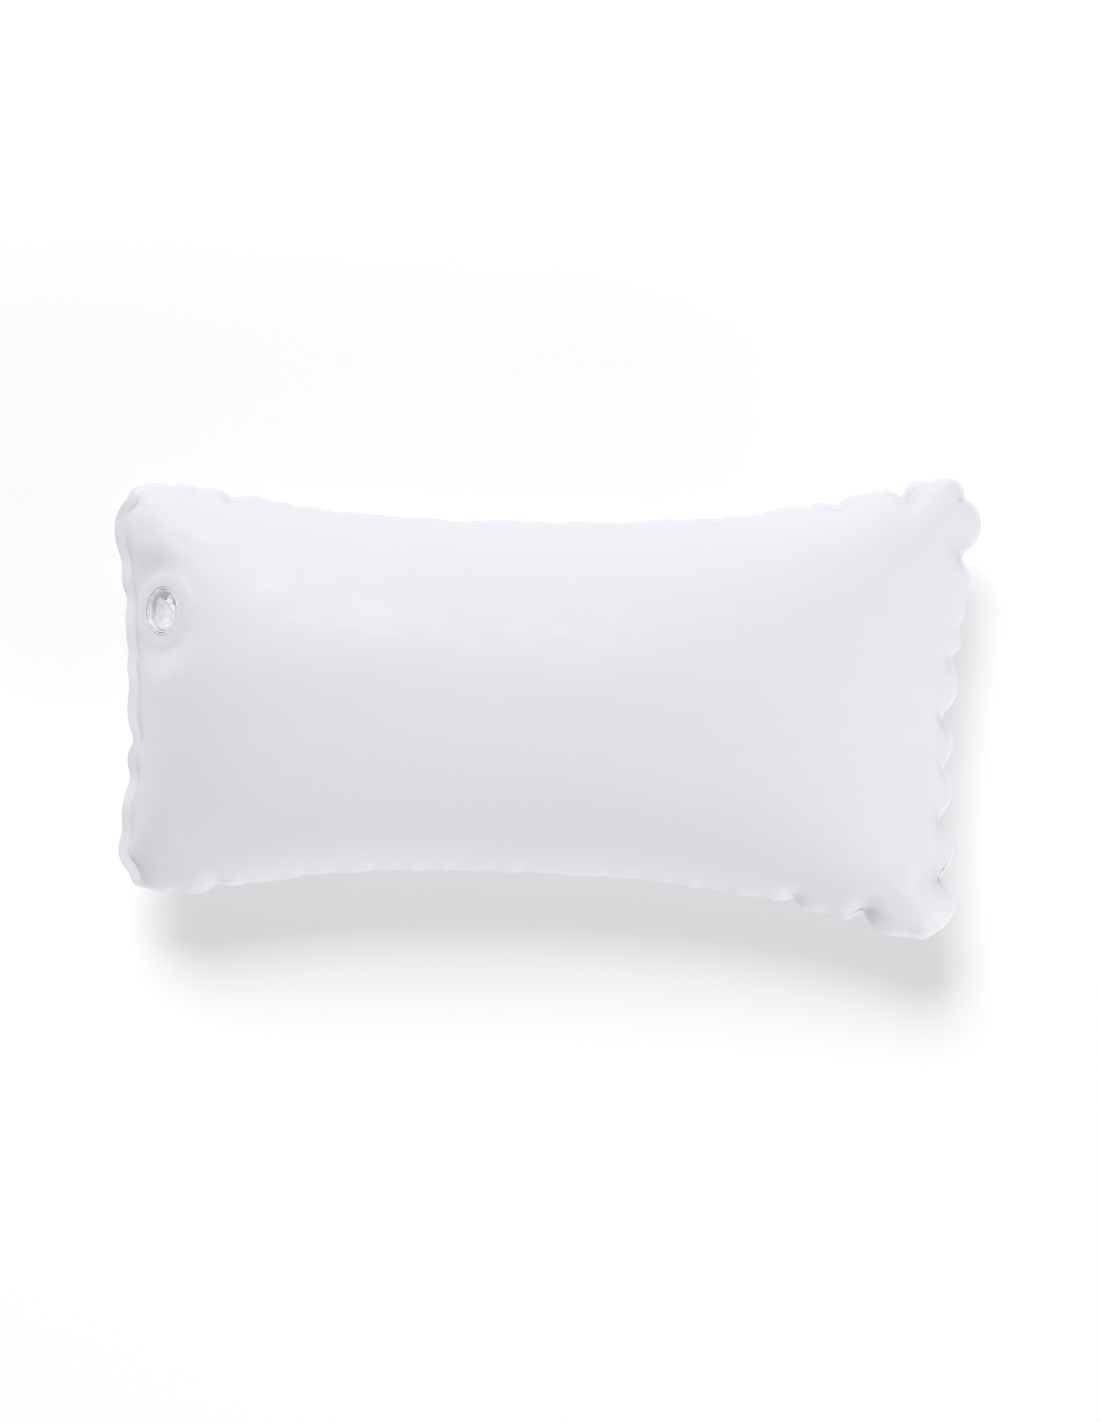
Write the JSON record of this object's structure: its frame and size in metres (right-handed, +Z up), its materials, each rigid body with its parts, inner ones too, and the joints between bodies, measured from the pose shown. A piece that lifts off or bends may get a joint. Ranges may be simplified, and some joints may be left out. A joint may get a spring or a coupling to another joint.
{
  "type": "inflatable camp pillow",
  "caption": "Blown-up rectangular pillow of two white vinyl sheets welded round a puckered rim, lying flat, with a clear recessed push-in air valve near one end.",
  "frame": {"origin": "middle of the footprint, on the surface the pillow lies on", "axes": "+X along the pillow away from the valve, +Y across it towards the side the valve is on, +Z up out of the top sheet"},
  "size_m": [0.3634, 0.1946, 0.0893],
  "materials": {
    "film": "satin white vinyl film",
    "clear_vinyl": "clear soft vinyl"
  },
  "bodies": {
    "shell": {"upper_sheet": "film", "lower_sheet": "film", "valve_flange": "clear_vinyl", "valve_skirt": "clear_vinyl"},
    "stem": {"valve_stem": "clear_vinyl", "strap_collar": "clear_vinyl"},
    "strap": {"plug_strap": "clear_vinyl"},
    "plug": {"valve_plug": "clear_vinyl"},
    "flap": {"check_flap": "clear_vinyl"}
  },
  "joints": [
    {"name": "stem_slide", "type": "slide", "parent": "shell", "child": "stem", "axis": [-0.6639, 0.0207, 0.7476], "range_m": [0, 0.016], "deforming": ["valve_skirt"]},
    {"name": "plug_pull", "type": "slide", "parent": "stem", "child": "strap", "axis": [-0.6639, 0.0207, 0.7476], "range_m": [0, 0.0065], "deforming": ["plug_strap"]},
    {"name": "plug_fold", "type": "hinge", "parent": "strap", "child": "plug", "pos_m": [-0.15454, 0.03694, 0.05879], "axis": [-0.6881, 0.3745, -0.6215], "range_deg": [0, 100]},
    {"name": "flap_swing", "type": "hinge", "parent": "stem", "child": "flap", "pos_m": [-0.14865, 0.02965, 0.05459], "axis": [-0.0137, -0.9998, 0.0154], "range_deg": [0, 60], "stiffness_Nm_per_rad": 0.00001, "springref_deg": -20.05}
  ]
}
